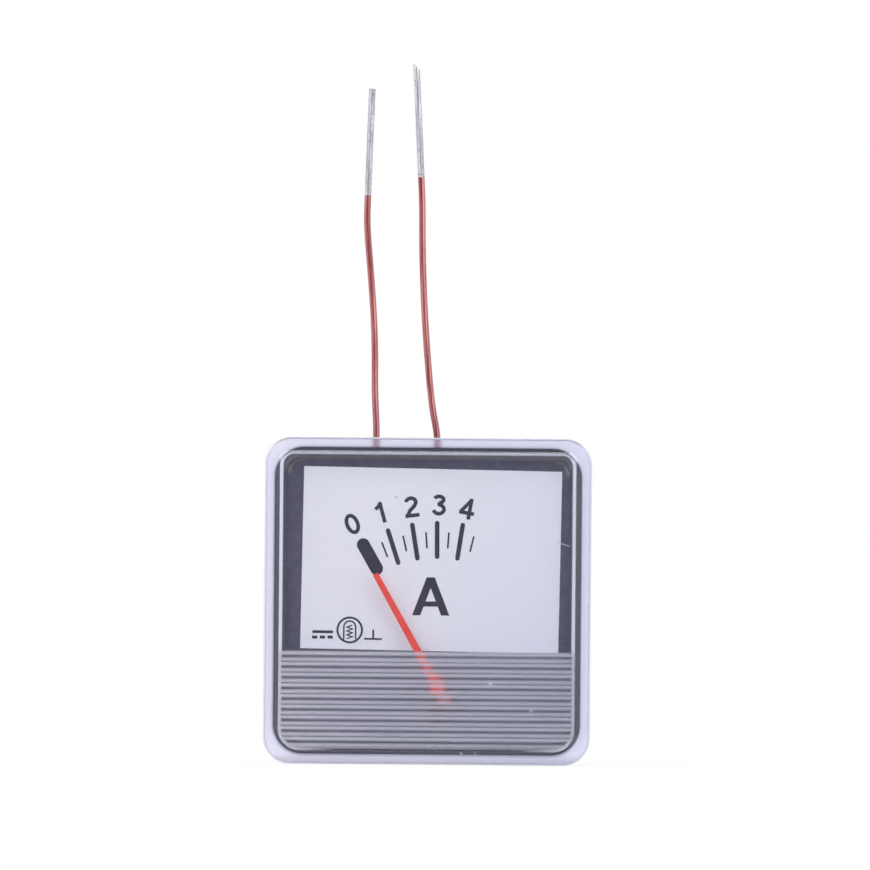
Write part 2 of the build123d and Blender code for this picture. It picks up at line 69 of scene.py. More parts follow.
def noise(tree, scale, detail=4.0, stretch=None):
    """Noise over the piece, scale in spots per metre, stretched along an axis where asked."""
    texture = tree.nodes.new("ShaderNodeTexNoise")
    texture.inputs["Scale"].default_value = scale
    texture.inputs["Detail"].default_value = detail
    texture.inputs["Roughness"].default_value = NOISE_ROUGHNESS
    point = object_point(tree)
    if stretch:
        mapping = tree.nodes.new("ShaderNodeMapping")
        mapping.inputs["Scale"].default_value = stretch
        tree.links.new(point, mapping.inputs["Vector"])
        point = mapping.outputs["Vector"]
    tree.links.new(point, texture.inputs["Vector"])
    return texture.outputs["Fac"]


def remap(tree, value, low, high, to_low, to_high):
    """Value carried from one range to another and held at its ends."""
    node = tree.nodes.new("ShaderNodeMapRange")
    node.inputs["From Min"].default_value = low
    node.inputs["From Max"].default_value = high
    node.inputs["To Min"].default_value = to_low
    node.inputs["To Max"].default_value = to_high
    tree.links.new(value, node.inputs["Value"])
    return node.outputs["Result"]


def rising(tree, value, start, end):
    """Share that rises from 0 at the start to 1 at the end."""
    return remap(tree, value, start, end, 0, 1)


def falling(tree, value, start, end):
    """Share that falls from 1 at the start to 0 at the end."""
    return remap(tree, value, start, end, 1, 0)


def two_colours(tree, factor, first, second):
    """Colour that runs from the first to the second as the factor rises."""
    mix = tree.nodes.new("ShaderNodeMix")
    mix.data_type = "RGBA"
    mix.inputs["A"].default_value = (*first, 1)
    mix.inputs["B"].default_value = (*second, 1)
    tree.links.new(factor, mix.inputs["Factor"])
    return mix.outputs["Result"]


def mixed_colour(tree, factor, under, over):
    """Second colour laid over the first by the factor."""
    mix = tree.nodes.new("ShaderNodeMix")
    mix.data_type = "RGBA"
    tree.links.new(factor, mix.inputs["Factor"])
    tree.links.new(under, mix.inputs["A"])
    tree.links.new(over, mix.inputs["B"])
    return mix.outputs["Result"]


def multiplied(tree, first, second):
    """Product of two colours."""
    mix = tree.nodes.new("ShaderNodeMix")
    mix.data_type = "RGBA"
    mix.blend_type = "MULTIPLY"
    mix.inputs["Factor"].default_value = 1.0
    tree.links.new(first, mix.inputs["A"])
    tree.links.new(second, mix.inputs["B"])
    return mix.outputs["Result"]


def painted(tree, factor, under, colour):
    """Plain colour laid over another by the factor."""
    mix = tree.nodes.new("ShaderNodeMix")
    mix.data_type = "RGBA"
    tree.links.new(factor, mix.inputs["Factor"])
    tree.links.new(under, mix.inputs["A"])
    mix.inputs["B"].default_value = (*colour, 1)
    return mix.outputs["Result"]


def calculate(tree, operation, first, second=None):
    """Math node on two sockets or numbers."""
    node = tree.nodes.new("ShaderNodeMath")
    node.operation = operation
    for index, value in enumerate((first, second)):
        if value is None:
            continue
        if isinstance(value, (int, float)):
            node.inputs[index].default_value = value
        else:
            tree.links.new(value, node.inputs[index])
    return node.outputs[0]


def total(tree, *parts):
    """Sum of sockets and numbers."""
    return reduce(lambda first, second: calculate(tree, "ADD", first, second), parts)


def product(tree, *parts):
    """Product of sockets and numbers."""
    return reduce(lambda first, second: calculate(tree, "MULTIPLY", first, second), parts)


def largest(tree, *parts):
    """Largest of sockets and numbers."""
    return reduce(lambda first, second: calculate(tree, "MAXIMUM", first, second), parts)


def less(tree, first, second):
    """First less the second."""
    return calculate(tree, "SUBTRACT", first, second)


def left_over(tree, share):
    """What a share leaves of 1."""
    return less(tree, 1.0, share)


def unsigned(tree, value):
    """Value without its sign."""
    return calculate(tree, "ABSOLUTE", value)


def span(tree, dx, dz):
    """Length of an offset across the dial."""
    squares = total(tree, calculate(tree, "POWER", dx, 2.0), calculate(tree, "POWER", dz, 2.0))
    return calculate(tree, "SQRT", squares)


def bump(tree, shader, height, strength, distance, under=None):
    """Relief from a height, over the piece's own normal or over another."""
    node = tree.nodes.new("ShaderNodeBump")
    node.inputs["Strength"].default_value = strength
    node.inputs["Distance"].default_value = distance
    tree.links.new(height, node.inputs["Height"])
    if under:
        tree.links.new(under, node.inputs["Normal"])
    tree.links.new(node.outputs["Normal"], shader.inputs["Normal"])


# Grain of the plain surfaces
GRAINS_PER_SPOT = 6
GRAIN_RELIEF = 0.02 * MM


def surface(name, dark, light, rough, metallic=0.0, grain=3000, grain_bump=0.1):
    """Plain solid material with mottled colour, uneven gloss and a fine grain."""
    material, tree, shader = new_material(name)
    spots = noise(tree, grain / GRAINS_PER_SPOT)
    colour = two_colours(tree, rising(tree, spots, *NOISE_BAND), dark, light)
    tree.links.new(colour, shader.inputs["Base Color"])
    grains = noise(tree, grain, detail=3)
    tree.links.new(remap(tree, grains, *NOISE_BAND, *rough), shader.inputs["Roughness"])
    shader.inputs["Metallic"].default_value = metallic
    bump(tree, shader, grains, grain_bump, GRAIN_RELIEF)
    return material


def lets_lamps_through(tree, shader, share):
    """Lamps reach what is behind this shader."""
    path = tree.nodes.new("ShaderNodeLightPath")
    film = tree.nodes.new("ShaderNodeBsdfTransparent")
    film.inputs["Color"].default_value = (*share, 1)
    mix = tree.nodes.new("ShaderNodeMixShader")
    tree.links.new(path.outputs["Is Shadow Ray"], mix.inputs["Fac"])
    tree.links.new(shader, mix.inputs[1])
    tree.links.new(film.outputs[0], mix.inputs[2])
    tree.links.new(mix.outputs[0], tree.nodes["Material Output"].inputs["Surface"])


# Sizes of the CAD cover that its material follows
WINDOW_HALF = (21.8 * MM, 22.0 * MM)
WINDOW_TOP_CORNER = 2.2 * MM
WINDOW_BOTTOM_CORNER = 3.2 * MM
WINDOW_FRONT = -4.0 * MM
FLANGE_HALF = (24.0 * MM, 24.0 * MM)
FLANGE_CORNER = 4.0 * MM
FLANGE_FRONT = -1.5 * MM
CASE_HALF = (22.5 * MM, 22.5 * MM)
CASE_CORNER = 4.3 * MM
REED_TOP = -7.415 * MM
REED_PITCH = 1.565 * MM
REED_COUNT = 9
REED_BOTTOM = REED_TOP - REED_COUNT * REED_PITCH

# Painted light and shade down one reed, standing in for the light its slopes turn back, from the groove
# above it over its crest to the groove below
REED_PAINTED_STREAKS = (
    (0.0, 0.06),
    (0.05, 0.22),
    (0.13, 0.5),
    (0.26, 0.46),
    (0.36, 0.17),
    (0.44, 0.04),
    (0.53, 0.02),
    (0.6, 0.2),
    (0.7, 0.42),
    (0.8, 0.5),
    (0.9, 0.5),
    (0.96, 0.2),
    (1.0, 0.06),
)

# Dust on the window and the foot of the cover: x and z in mm, radius in mm, how white
DUST = (
    (7.65, -8.99, 0.26, 0.38),
    (9.3, -12.06, 0.36, 0.5),
    (15.35, -15.97, 0.26, 0.36),
    (5.13, -22.33, 0.28, 0.4),
    (7.18, -22.33, 0.28, 0.22),
)
DUST_CORE = 0.35

# Hair scratch on the window: x and z in mm, fall to the right, half its length and the share of it
# before the scratch fades, its sides, how white
SCRATCH_PLACE = (19.9, 8.55)
SCRATCH_FALL = math.radians(21.0)
SCRATCH_HALF = 1.1 * MM
SCRATCH_CORE = 0.7
SCRATCH_SIDE = (0.04 * MM, 0.13 * MM)
SCRATCH_WHITE = 0.16

# Dark fleck on the label: x and z in mm, its edge, how dark
FLECK = (-4.68, 15.27)
FLECK_EDGE = (0.12 * MM, 0.3 * MM)
FLECK_LEVEL = 0.4
FLECK_COLOUR = (0.3, 0.3, 0.35)


def outline_distance(tree, x, z, half, corner):
    """Distance outside a rounded square, negative inside it."""
    past_x = total(tree, less(tree, unsigned(tree, x), half[0]), corner)
    past_z = total(tree, less(tree, unsigned(tree, z), half[1]), corner)
    outside = span(tree, largest(tree, past_x, 0.0), largest(tree, past_z, 0.0))
    inside = calculate(tree, "MINIMUM", largest(tree, past_x, past_z), 0.0)
    return less(tree, total(tree, outside, inside), corner)


def ramp(tree, value, stops):
    """Value read off a line through the stops."""
    node = tree.nodes.new("ShaderNodeValToRGB")
    line = node.color_ramp
    line.elements[0].position = stops[0][0]
    line.elements[-1].position = stops[-1][0]
    for place, _ in stops[1:-1]:
        line.elements.new(place)
    for element, (_, level) in zip(line.elements, stops):
        element.color = (level, level, level, 1)
    tree.links.new(value, node.inputs["Fac"])
    return node.outputs["Color"]


def from_place(tree, x, z, place):
    """Offsets of the point from a place given in mm."""
    return less(tree, x, place[0] * MM), less(tree, z, place[1] * MM)


def dust(tree, x, z):
    """Whitish specks."""
    specks = []
    for px, pz, radius, white in DUST:
        away = span(tree, *from_place(tree, x, z, (px, pz)))
        specks.append(remap(tree, away, DUST_CORE * radius * MM, radius * MM, white, 0))
    return largest(tree, *specks)


def hairline(tree, x, z):
    """Faint scratch that falls to the right."""
    dx, dz = from_place(tree, x, z, SCRATCH_PLACE)
    cosine, sine = math.cos(SCRATCH_FALL), math.sin(SCRATCH_FALL)
    along = less(tree, product(tree, dx, cosine), product(tree, dz, sine))
    across = total(tree, product(tree, dx, sine), product(tree, dz, cosine))
    narrow = remap(tree, unsigned(tree, across), *SCRATCH_SIDE, SCRATCH_WHITE, 0)
    short = falling(tree, unsigned(tree, along), SCRATCH_CORE * SCRATCH_HALF, SCRATCH_HALF)
    return product(tree, narrow, short)


# Regions of the cover: where each begins and ends, across the dial or outside an outline
WINDOW_CORNERS_BLEND = (-10 * MM, 10 * MM)
FLANGE_START = (0.0, 0.1 * MM)
FRONT_DEPTH = (WINDOW_FRONT + 0.45 * MM, WINDOW_FRONT + 0.55 * MM)
FACE_DEPTH = (FLANGE_FRONT, FLANGE_FRONT + 0.1 * MM)
SIDE_START = (20.5 * MM, 21.2 * MM)
FOOT_START = (-20.6 * MM, -21.3 * MM)
FOOT_ENDS = (13 * MM, 20 * MM)
TOP_EDGE = (22.4 * MM, 23.6 * MM)
EDGE_BAND = (-0.34 * MM, -0.08 * MM)
EDGE_WIDENED = 0.08 * MM
REEDS_START = (REED_TOP - 0.02 * MM, REED_TOP + 0.02 * MM)
REEDS_END = (REED_BOTTOM - 0.27 * MM, REED_BOTTOM - 0.12 * MM)
REEDS_SIDE = (-0.35 * MM, -0.25 * MM)
REEDS_ACROSS = (-20 * MM, 20 * MM)
RIM_INNER = (-0.62 * MM, -0.46 * MM)
RIM_OUTER = (-0.06 * MM, 0.04 * MM)
RIM_INNER_SHIFT_RIGHT = 0.1 * MM
RIM_OUTER_SHIFT_RIGHT = 0.12 * MM
RIM_OUTER_SHIFT_TOP = 0.18 * MM
BESIDE_RIM_START = (-0.12 * MM, 0.0)
BESIDE_RIM_END = (0.3 * MM, 0.7 * MM)
UPPER_CORNER_START = (20.0 * MM, 20.9 * MM)


class CoverPoint:
    """Point on the clear cover: coordinates, distances to the outlines, and its share in each region."""

    def __init__(self, tree):
        self.x, self.y, self.z = object_axes(tree)
        window_corner = remap(tree, self.z, *WINDOW_CORNERS_BLEND, WINDOW_BOTTOM_CORNER, WINDOW_TOP_CORNER)
        self.window = outline_distance(tree, self.x, self.z, WINDOW_HALF, window_corner)
        self.flange = outline_distance(tree, self.x, self.z, FLANGE_HALF, FLANGE_CORNER)
        self.case = outline_distance(tree, self.x, self.z, CASE_HALF, CASE_CORNER)
        self.outwards = calculate(tree, "MINIMUM", unsigned(tree, self.x), self.z)

        self.in_flange = rising(tree, self.window, *FLANGE_START)
        self.in_window = left_over(tree, self.in_flange)
        self.at_front = falling(tree, self.y, *FRONT_DEPTH)
        self.at_face = falling(tree, self.y, *FACE_DEPTH)
        self.on_right = rising(tree, self.x, *SIDE_START)
        self.on_top = rising(tree, self.z, *SIDE_START)
        low = rising(tree, self.z, *FOOT_START)
        middle = falling(tree, unsigned(tree, self.x), *FOOT_ENDS)
        self.not_foot = left_over(tree, product(tree, low, middle))
        # Band along the flange's outer edge, where a painted light and shade outline goes
        self.top_edge = rising(tree, self.z, *TOP_EDGE)
        edge_side = total(tree, self.flange, remap(tree, self.top_edge, 0, 1, EDGE_WIDENED, 0))
        self.edge = rising(tree, edge_side, *EDGE_BAND)

        self.beside_reeds = falling(tree, self.window, *REEDS_SIDE)
        self.reeds = product(
            tree,
            falling(tree, self.z, *REEDS_START),
            rising(tree, self.z, *REEDS_END),
            self.at_front,
            self.beside_reeds,
        )
        self.rim = self.rim_share(tree)
        # Band beside the rim, and its upper corners where a painted highlight goes
        beside_rim = product(
            tree,
            rising(tree, self.window, *BESIDE_RIM_START),
            falling(tree, self.window, *BESIDE_RIM_END),
        )
        self.upper_corner = product(tree, beside_rim, rising(tree, self.outwards, *UPPER_CORNER_START))

    def rim_share(self, tree):
        """Share of the window's rounded rim, which is pushed inwards at the top and the right."""
        inner_side = total(tree, self.window, product(tree, self.on_right, RIM_INNER_SHIFT_RIGHT))
        pulled_in = largest(
            tree,
            product(tree, self.on_top, RIM_OUTER_SHIFT_TOP),
            product(tree, self.on_right, RIM_OUTER_SHIFT_RIGHT),
        )
        outer_side = total(tree, self.window, pulled_in)
        return product(tree, rising(tree, inner_side, *RIM_INNER), falling(tree, outer_side, *RIM_OUTER))


# Painted light and shade of each region, laid on the clear plastic as a diffuse share, and where it changes
RIM_HIGHLIGHT_AT_REEDS = 0.56
RIM_HIGHLIGHT_ABOVE_REEDS = 0.76
RIM_HIGHLIGHT_BLEND = (REED_TOP - 0.3 * MM, REED_TOP + 0.3 * MM)
RIM_FAINTER_TOP = 0.3
RIM_FAINTER_RIGHT = 0.07
UPPER_WALL = (-1.32 * MM, -1.08 * MM)
UPPER_WALL_START = (18.5 * MM, 19.5 * MM)
UPPER_WALL_PAINTED_LIGHT = 0.11
WALL_START = (-1.02 * MM, -0.96 * MM)
WALL_PAINTED_LIGHT = 0.085
INNER_CORNER_START = (18.0 * MM, 20 * MM)
INNER_CORNER_BAND = (-2.1 * MM, -1.3 * MM)
INNER_CORNER_PAINTED_LIGHT = 0.1
LAST_REED = (REED_COUNT - 0.42, REED_COUNT - 0.36)
LAST_REED_PAINTED_STREAKS = 0.3
REED_PATCHES = (0.97, 1.16)
REED_PATCH_SCALE = 260
REED_PATCH_STRETCH = (0.3, 1, 1)
REED_PAINTED_STREAKS_LEFT_AND_RIGHT = (1.02, 0.8)
TOP_LINE = (0.06 * MM, 0.2 * MM)
TOP_LINE_HIGHLIGHT = 0.14
FLANGE_PAINTED_SHADE_ENDS = (20.5 * MM, 21.8 * MM)
FLANGE_PAINTED_SHADE = (0.13, 0.09)
UPPER_CORNER_HIGHLIGHT = 0.6
EDGE_PAINTED_LEVEL = 0.82
TOP_EDGE_PAINTED_LEVEL = 0.6


def painted_rim_highlight(tree, at):
    """Painted highlight along the window's rim: brightest beside the clear part, fading out along the
    bottom.
    """
    level = remap(tree, at.z, *RIM_HIGHLIGHT_BLEND, RIM_HIGHLIGHT_AT_REEDS, RIM_HIGHLIGHT_ABOVE_REEDS)
    fainter = largest(
        tree,
        product(tree, at.on_top, RIM_FAINTER_TOP),
        product(tree, at.on_right, RIM_FAINTER_RIGHT),
    )
    level = product(tree, less(tree, level, fainter), at.not_foot)
    return product(tree, product(tree, at.rim, at.at_front), level)


def painted_wall_light(tree, at):
    """Painted light over the window's inner wall, its upper stretch and its upper corners, lifting the dark
    seen there.
    """
    upper = remap(tree, at.z, *UPPER_WALL_START, 0, UPPER_WALL_PAINTED_LIGHT)
    wall = largest(
        tree,
        product(tree, rising(tree, at.window, *UPPER_WALL), upper),
        remap(tree, at.window, *WALL_START, 0, WALL_PAINTED_LIGHT),
    )
    corners = product(
        tree,
        remap(tree, at.outwards, *INNER_CORNER_START, 0, INNER_CORNER_PAINTED_LIGHT),
        rising(tree, at.window, *INNER_CORNER_BAND),
        at.in_window,
    )
    return largest(tree, product(tree, at.in_window, wall, at.not_foot), corners)


def painted_reed_streaks(tree, at):
    """Painted light streaks along the reeds, and the thin painted highlight line above them."""
    down = calculate(tree, "DIVIDE", less(tree, REED_TOP, at.z), REED_PITCH)
    streaks = ramp(tree, calculate(tree, "FRACT", down), REED_PAINTED_STREAKS)
    streaks = largest(tree, streaks, remap(tree, down, *LAST_REED, 0, LAST_REED_PAINTED_STREAKS))
    spots = noise(tree, REED_PATCH_SCALE, detail=3, stretch=REED_PATCH_STRETCH)
    patches = remap(tree, spots, *NOISE_BAND, *REED_PATCHES)
    rightward = remap(tree, at.x, *REEDS_ACROSS, *REED_PAINTED_STREAKS_LEFT_AND_RIGHT)
    top_line = remap(tree, unsigned(tree, less(tree, at.z, REED_TOP)), *TOP_LINE, TOP_LINE_HIGHLIGHT, 0)
    return largest(
        tree,
        product(tree, at.reeds, streaks, patches, rightward),
        product(tree, top_line, at.at_front, at.beside_reeds),
    )


def cover_painted_light(tree, at):
    """Painted light and shade of the whole cover, before dust and scratch."""
    flange_level = remap(tree, unsigned(tree, at.z), *FLANGE_PAINTED_SHADE_ENDS, *FLANGE_PAINTED_SHADE)
    return largest(
        tree,
        painted_reed_streaks(tree, at),
        painted_rim_highlight(tree, at),
        painted_wall_light(tree, at),
        # Painted cool shade over the whole flange
        product(tree, at.in_flange, flange_level),
        # Painted highlight at the window's upper corners
        product(tree, at.upper_corner, UPPER_CORNER_HIGHLIGHT),
        # Painted light along the flange's outer edge, greyer painted shade along its top edge
        product(tree, at.edge, remap(tree, at.top_edge, 0, 1, EDGE_PAINTED_LEVEL, TOP_EDGE_PAINTED_LEVEL)),
    )


# Tints of what is seen through the cover, with painted shade in the reeds, near the rim and in the flange,
# and where they change
WHITE = (1.0, 1.0, 1.0)
FLANGE_PAINTED_SHADE_TINT = (0.87, 0.86, 0.985)
FLANGE_FOOT_PAINTED_SHADE = (0.655, 0.635, 0.72)
FLANGE_FOOT_START = (-22.4 * MM, -23.4 * MM)
FLANGE_RIGHT_PAINTED_SHADE = (0.9, 0.93, 0.96)
FLANGE_ACROSS = (-22 * MM, 22 * MM)
WINDOW_TINT = (0.945, 0.945, 0.98)
REED_PAINTED_SHADE = (0.73, 0.76, 0.88)
BENT_PAINTED_SHADE = (0.87, 0.88, 1.0)
BENT_START = (-1.4 * MM, -0.9 * MM)
CASE_PAINTED_REFLECTION = (0.46, 0.46, 0.5)
CASE_LINE_REACH = 0.3 * MM
CASE_LINE_LESS_RIGHT = 0.13 * MM
CASE_LINE_MORE_FOOT = 0.15 * MM
CASE_LINE_FOOT_START = (-20.5 * MM, -21.2 * MM)

# Colours of the painted highlights, painted light and painted shade laid on the cover
RIM_HIGHLIGHT_COLOUR = (0.77, 0.78, 1.0)
WALL_PAINTED_COLOUR = (0.5, 0.53, 1.0)
FLANGE_PAINTED_SHADE_COLOUR = (0.54, 0.56, 1.0)
EDGE_PAINTED_COLOUR = (0.93, 0.93, 0.97)
TOP_EDGE_PAINTED_COLOUR = (0.7, 0.69, 0.77)
UPPER_CORNER_HIGHLIGHT_COLOUR = (0.88, 0.88, 0.98)
REED_PAINTED_LEFT = (0.7, 0.61, 0.735)
REED_PAINTED_RIGHT = (0.58, 0.54, 0.755)
WORN_WHITE = (0.95, 0.95, 1.0)

# Gloss, scuffs and ripples of the plastic, noise scales in spots per metre
PLASTIC_IOR = 1.56
SCUFF_SCALE = 900
SCUFF_BAND = (0.35, 0.75)
SCUFF_ROUGHNESS = 0.04
RIPPLE_SCALE = 450
RIPPLE_STRENGTH = 0.04
RIPPLE_HEIGHT = 0.01 * MM
FLANGE_ROUGHNESS = 0.21
REED_ROUGHNESS = 0.4

# How far the reeds' normals are turned back to the dial's, and what the plastic lets through of a lamp
REED_FLATTENED = 0.6
LAMP_SHARE = (0.94, 0.94, 0.96)


def cover_tint_and_shade(tree, at):
    """Tint of the clear plastic with painted shade: darker in the reeds and near the rim, painted grey shade
    in the flange that darkens at its foot and towards its right, and a painted reflection of the dark case
    as a dark line beside it behind the flange.
    """
    # The plastic's own tint, with painted shade over the reeds and painted blue shade near the rim
    bent = rising(tree, at.window, *BENT_START)
    window_tint_and_shade = two_colours(tree, at.reeds, WINDOW_TINT, REED_PAINTED_SHADE)
    window_tint_and_shade = painted(tree, product(tree, bent, at.not_foot), window_tint_and_shade, BENT_PAINTED_SHADE)
    # Painted grey shade in the flange, darker at its foot and towards its right
    flange_painted_shade = two_colours(tree, rising(tree, at.z, *FLANGE_FOOT_START), FLANGE_PAINTED_SHADE_TINT, FLANGE_FOOT_PAINTED_SHADE)
    rightward = two_colours(tree, rising(tree, at.x, *FLANGE_ACROSS), WHITE, FLANGE_RIGHT_PAINTED_SHADE)
    # Painted reflection of the dark case: a dark line beside it behind the flange, wider at the foot and
    # narrower on the right
    reach = total(
        tree,
        less(tree, CASE_LINE_REACH, product(tree, at.on_right, CASE_LINE_LESS_RIGHT)),
        remap(tree, at.z, *CASE_LINE_FOOT_START, 0, CASE_LINE_MORE_FOOT),
    )
    case_reflection_share = rising(tree, unsigned(tree, calculate(tree, "DIVIDE", at.case, reach)), 0, 1)
    flange_painted_shade = multiplied(tree, flange_painted_shade, rightward)
    flange_painted_shade = multiplied(tree, flange_painted_shade, two_colours(tree, case_reflection_share, CASE_PAINTED_REFLECTION, WHITE))
    return mixed_colour(tree, at.in_flange, window_tint_and_shade, flange_painted_shade)


def painted_light_colours(tree, at):
    """Colour of the painted light and shade in each region."""
    rim_and_wall_painted_colour = painted(tree, at.in_flange, two_colours(tree, at.rim, WALL_PAINTED_COLOUR, RIM_HIGHLIGHT_COLOUR), FLANGE_PAINTED_SHADE_COLOUR)
    edge_painted_colour = two_colours(tree, at.top_edge, EDGE_PAINTED_COLOUR, TOP_EDGE_PAINTED_COLOUR)
    reed_painted_colour = two_colours(tree, rising(tree, at.x, *REEDS_ACROSS), REED_PAINTED_LEFT, REED_PAINTED_RIGHT)
    painted_colour = mixed_colour(tree, at.edge, rim_and_wall_painted_colour, edge_painted_colour)
    painted_colour = mixed_colour(tree, at.reeds, painted_colour, reed_painted_colour)
    return painted(tree, at.upper_corner, painted_colour, UPPER_CORNER_HIGHLIGHT_COLOUR)


def flattened_normal(tree, at):
    """The reeds' polished-down crests bend the light less than their outline would."""
    geometry = tree.nodes.new("ShaderNodeNewGeometry")
    flat = tree.nodes.new("ShaderNodeCombineXYZ")
    tree.links.new(remap(tree, geometry.outputs["Backfacing"], 0, 1, -1, 1), flat.inputs["Y"])
    leaning = tree.nodes.new("ShaderNodeMix")
    leaning.data_type = "VECTOR"
    tree.links.new(product(tree, at.reeds, REED_FLATTENED), leaning.inputs["Factor"])
    tree.links.new(geometry.outputs["Normal"], leaning.inputs["A"])
    tree.links.new(flat.outputs[0], leaning.inputs["B"])
    unit = tree.nodes.new("ShaderNodeVectorMath")
    unit.operation = "NORMALIZE"
    tree.links.new(leaning.outputs["Result"], unit.inputs[0])
    return unit.outputs[0]


def clear_plastic():
    """Clear plastic: painted highlight along the window's rounded rim, painted light streaks on the reeds,
    painted grey shade in the flange.
    """
    material, tree, glass = new_material("clear_plastic")
    at = CoverPoint(tree)
    worn = product(tree, largest(tree, dust(tree, at.x, at.z), hairline(tree, at.x, at.z)), at.at_face)
    painted_light_and_dust = calculate(tree, "MINIMUM", total(tree, cover_painted_light(tree, at), worn), 1.0)
    tree.links.new(left_over(tree, painted_light_and_dust), glass.inputs["Transmission Weight"])
    body = mixed_colour(tree, painted_light_and_dust, cover_tint_and_shade(tree, at), painted_light_colours(tree, at))
    tree.links.new(painted(tree, worn, body, WORN_WHITE), glass.inputs["Base Color"])
    glass.inputs["IOR"].default_value = PLASTIC_IOR
    roughness = total(
        tree,
        remap(tree, noise(tree, SCUFF_SCALE, detail=6), *SCUFF_BAND, 0.0, SCUFF_ROUGHNESS),
        product(tree, at.in_flange, FLANGE_ROUGHNESS),
        product(tree, at.reeds, REED_ROUGHNESS),
    )
    tree.links.new(roughness, glass.inputs["Roughness"])
    ripples = noise(tree, RIPPLE_SCALE, detail=3)
    bump(tree, glass, ripples, RIPPLE_STRENGTH, RIPPLE_HEIGHT, under=flattened_normal(tree, at))
    lets_lamps_through(tree, glass.outputs[0], LAMP_SHARE)
    return material


# The label's film: pale, greyer to the lower right, with faint fibres
FILM_PALE = (0.955, 0.955, 1.0)
FILM_SHADED = (0.805, 0.845, 0.945)
FILM_SHADE_ACROSS = (-0.02, 0.03)
FIBRE_COLOURS = ((0.86, 0.86, 0.91), (0.95, 0.945, 0.985))
FIBRE_BAND = (0.35, 0.65)
FIBRE_LEVEL = 0.35
FILM_ROUGHNESS = (0.5, 0.6)
FILM_RELIEF = 0.01 * MM


def label_film():
    """Light film, a little greyer towards its lower right corner."""
    material, tree, shader = new_material("label_film")
    x, _, z = object_axes(tree)
    pale = two_colours(tree, rising(tree, less(tree, x, z), *FILM_SHADE_ACROSS), FILM_PALE, FILM_SHADED)
    fibres = remap(tree, noise(tree, 700, detail=5), *FIBRE_BAND, 0, FIBRE_LEVEL)
    paper = mixed_colour(tree, fibres, pale, two_colours(tree, noise(tree, 250), *FIBRE_COLOURS))
    fleck = remap(tree, span(tree, *from_place(tree, x, z, FLECK)), *FLECK_EDGE, FLECK_LEVEL, 0)
    tree.links.new(painted(tree, fleck, paper, FLECK_COLOUR), shader.inputs["Base Color"])
    tree.links.new(remap(tree, noise(tree, 1200), *NOISE_BAND, *FILM_ROUGHNESS), shader.inputs["Roughness"])
    bump(tree, shader, noise(tree, 2500), 0.08, FILM_RELIEF)
    return material


# Enamelled wire and its tinned end: dark and light colours of each, and of the painted shade lines on them
ENAMEL = ((0.45, 0.1, 0.095), (0.7, 0.25, 0.235))
ENAMEL_PAINTED_SHADE = (0.2, 0.03, 0.03)
TIN = ((0.54, 0.53, 0.57), (0.88, 0.86, 0.88))
TIN_PITS = ((0.3, 0.29, 0.33), (0.42, 0.41, 0.45))
TIN_PAINTED_SHADE = (0.25, 0.25, 0.27)
TIN_TIP = (0.16, 0.16, 0.18)
DRAWN_BAND = (0.4, 0.6)
STREAK_BAND = (0.42, 0.58)
PIT_BAND = (0.56, 0.66)
PIT_LEVEL = 0.6
TIP_LEVEL = 0.6
TIP_START = (-0.5 * MM, -0.1 * MM)
PAINTED_LINE_LEVEL = 0.5
FRONT_PAINTED_REFLECTION = (0.08, 0.26)
FLANK_PAINTED_SHADE = (0.75, 0.97)
TIN_RAGGED = 0.5 * MM
TIN_BLEND = 0.12 * MM

# Gloss and relief of the enamel and of the tin
METALLIC = (0.45, 0.4)
COAT = (1.0, 0.1)
COAT_ROUGHNESS = 0.04
ENAMEL_ROUGHNESS = (0.1, 0.22)
TIN_ROUGHER = 0.15
KNOBS = (0.006, 0.2)
KNOB_HEIGHT = 0.12 * MM


